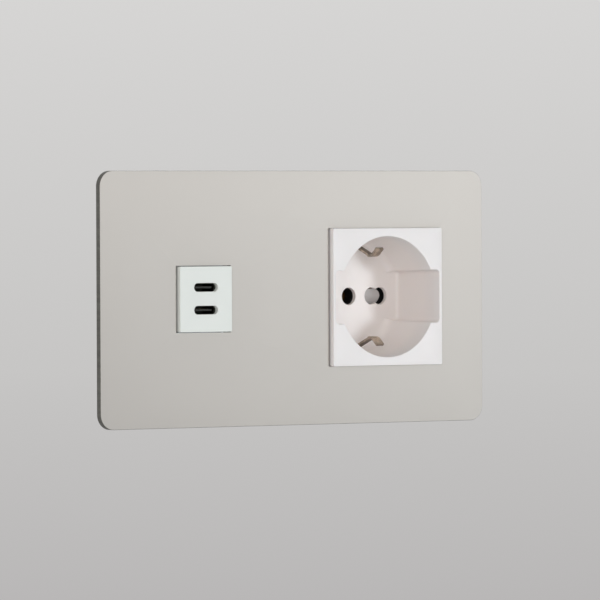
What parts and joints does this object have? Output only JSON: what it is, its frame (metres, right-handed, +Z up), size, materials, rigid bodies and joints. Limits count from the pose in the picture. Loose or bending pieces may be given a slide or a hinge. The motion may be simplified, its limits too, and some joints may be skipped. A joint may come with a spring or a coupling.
{
  "type": "usb wall socket",
  "caption": "Flush wall plate with a small square charging-port module beside a square mains outlet that has a deep round well, side pockets and sprung earth fingers.",
  "frame": {"origin": "centre of the four box-screw slots, in the wall plane at the back of the mounting frame", "axes": "+X to the right seen from the room, +Y into the wall, +Z up; the visible face looks along -Y"},
  "size_m": [0.156, 0.0402, 0.083],
  "materials": {
    "plate_paint": "smooth matt stone-grey paint",
    "socket_moulding": "warm white moulded plastic, satin",
    "port_moulding": "cool white moulded plastic, satin",
    "shutter_moulding": "light grey moulded plastic",
    "grey_moulding": "grey moulded plastic",
    "dark_moulding": "black moulded plastic with a fine grain",
    "terminal_moulding": "green moulded plastic",
    "earth_spring": "nickel-plated spring bronze",
    "spring_steel": "bright spring steel",
    "zinc_steel": "zinc-plated pressed steel",
    "plated_steel": "zinc-plated steel",
    "contact_brass": "pressed brass",
    "dark_shell": "blackened drawn steel",
    "tongue_moulding": "dark grey moulded plastic",
    "board": "green lacquered circuit board",
    "ferrite": "dark sintered ferrite",
    "coil_tape": "yellow winding tape",
    "capacitor_sleeve": "dark sleeve with a bright top",
    "chip_resin": "black moulded resin"
  },
  "bodies": {
    "wall_unit": {"face_plate": "plate_paint", "plate_studs": "plated_steel", "stud_clips": "spring_steel", "mounting_frame": "zinc_steel", "socket_front": "socket_moulding", "shutter_carrier": "grey_moulding", "shutter_spring": "spring_steel", "earth_bridge": "contact_brass", "earth_pin_contact": "contact_brass", "live_contact": "contact_brass", "neutral_contact": "contact_brass", "terminal_blocks": "contact_brass", "terminal_screws": "plated_steel", "socket_base": "grey_moulding", "case_screws": "plated_steel", "usb_front": "port_moulding", "usb_housing": "dark_moulding", "upper_port_shell": "dark_shell", "lower_port_shell": "dark_shell", "upper_port_tongue": "tongue_moulding", "lower_port_tongue": "tongue_moulding", "port_board": "board", "power_board": "board", "board_pins": "contact_brass", "transformer_core": "ferrite", "transformer_coil": "coil_tape", "input_capacitors": "capacitor_sleeve", "output_capacitors": "capacitor_sleeve", "control_chips": "chip_resin", "inlet_block": "terminal_moulding", "inlet_screws": "plated_steel", "fixing_screws": "plated_steel"},
    "shutter_rotor": {"shutter": "shutter_moulding"},
    "top_finger": {"earth_finger_top": "earth_spring"},
    "bottom_finger": {"earth_finger_bottom": "earth_spring"}
  },
  "joints": [
    {"name": "shutter_turn", "type": "hinge", "parent": "wall_unit", "child": "shutter_rotor", "pos_m": [0.037, 0.0196, 0], "axis": [0, -1, 0], "range_deg": [0, 34], "stiffness_Nm_per_rad": 0.004, "springref_deg": -11.46, "deforming": ["shutter_spring"]},
    {"name": "top_finger_flex", "type": "hinge", "parent": "wall_unit", "child": "top_finger", "pos_m": [0.037, 0.02245, 0.0167], "axis": [-1, 0, 0], "range_deg": [0, 6], "stiffness_Nm_per_rad": 0.8, "springref_deg": -5.73},
    {"name": "bottom_finger_flex", "type": "hinge", "parent": "wall_unit", "child": "bottom_finger", "pos_m": [0.037, 0.02245, -0.0167], "axis": [1, 0, 0], "range_deg": [0, 6], "stiffness_Nm_per_rad": 0.8, "springref_deg": -5.73}
  ]
}
